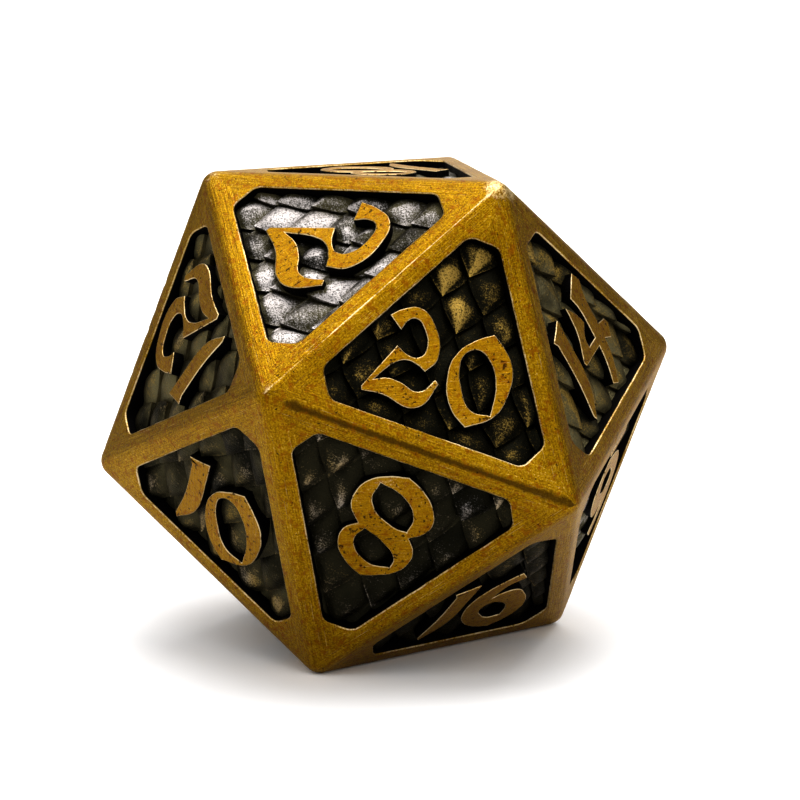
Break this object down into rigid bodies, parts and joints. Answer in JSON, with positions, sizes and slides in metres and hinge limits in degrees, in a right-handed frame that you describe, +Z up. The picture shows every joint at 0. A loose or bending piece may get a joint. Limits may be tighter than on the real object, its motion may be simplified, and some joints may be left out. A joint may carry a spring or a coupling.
{
  "type": "polyhedral die",
  "caption": "Icosahedral tabletop game die with brushed antique-gold ridges, dark overlapping-scale face panels and raised gold numerals, for rolling a random number.",
  "frame": {"origin": "centre of the face that the die stands on, face 3, in the plane of that face's flat lands", "axes": "+Z up through face 18 on top; +X along the longest extent, towards the corner shared by faces 4, 6, 9, 11 and 14; -Y is the front, where faces 20 and 8 show"},
  "size_m": [0.0244, 0.0212, 0.02],
  "materials": {
    "brushed_gold": "antique gold plating, brushed along the ridges and worn",
    "black_patina": "blackened patina with worn metallic highlights on the scales",
    "numeral_gold": "antique gold plating, brushed and pitted"
  },
  "bodies": {
    "root": {"cast_body": "brushed_gold", "numeral_01": "numeral_gold", "numeral_02": "numeral_gold", "numeral_03": "numeral_gold", "numeral_04": "numeral_gold", "numeral_05": "numeral_gold", "numeral_06": "numeral_gold", "numeral_07": "numeral_gold", "numeral_08": "numeral_gold", "numeral_09": "numeral_gold", "numeral_10_tens": "numeral_gold", "numeral_10_units": "numeral_gold", "numeral_11_tens": "numeral_gold", "numeral_11_units": "numeral_gold", "numeral_12_tens": "numeral_gold", "numeral_12_units": "numeral_gold", "numeral_13_tens": "numeral_gold", "numeral_13_units": "numeral_gold", "numeral_14_tens": "numeral_gold", "numeral_14_units": "numeral_gold", "numeral_15_tens": "numeral_gold", "numeral_15_units": "numeral_gold", "numeral_16_tens": "numeral_gold", "numeral_16_units": "numeral_gold", "numeral_17_tens": "numeral_gold", "numeral_17_units": "numeral_gold", "numeral_18_tens": "numeral_gold", "numeral_18_units": "numeral_gold", "numeral_19_tens": "numeral_gold", "numeral_19_units": "numeral_gold", "numeral_20_tens": "numeral_gold", "numeral_20_units": "numeral_gold", "scale_panel_01": "black_patina", "scale_panel_02": "black_patina", "scale_panel_03": "black_patina", "scale_panel_04": "black_patina", "scale_panel_05": "black_patina", "scale_panel_06": "black_patina", "scale_panel_07": "black_patina", "scale_panel_08": "black_patina", "scale_panel_09": "black_patina", "scale_panel_10": "black_patina", "scale_panel_11": "black_patina", "scale_panel_12": "black_patina", "scale_panel_13": "black_patina", "scale_panel_14": "black_patina", "scale_panel_15": "black_patina", "scale_panel_16": "black_patina", "scale_panel_17": "black_patina", "scale_panel_18": "black_patina", "scale_panel_19": "black_patina", "scale_panel_20": "black_patina", "underline_06": "numeral_gold", "underline_09": "numeral_gold"}
  },
  "joints": []
}
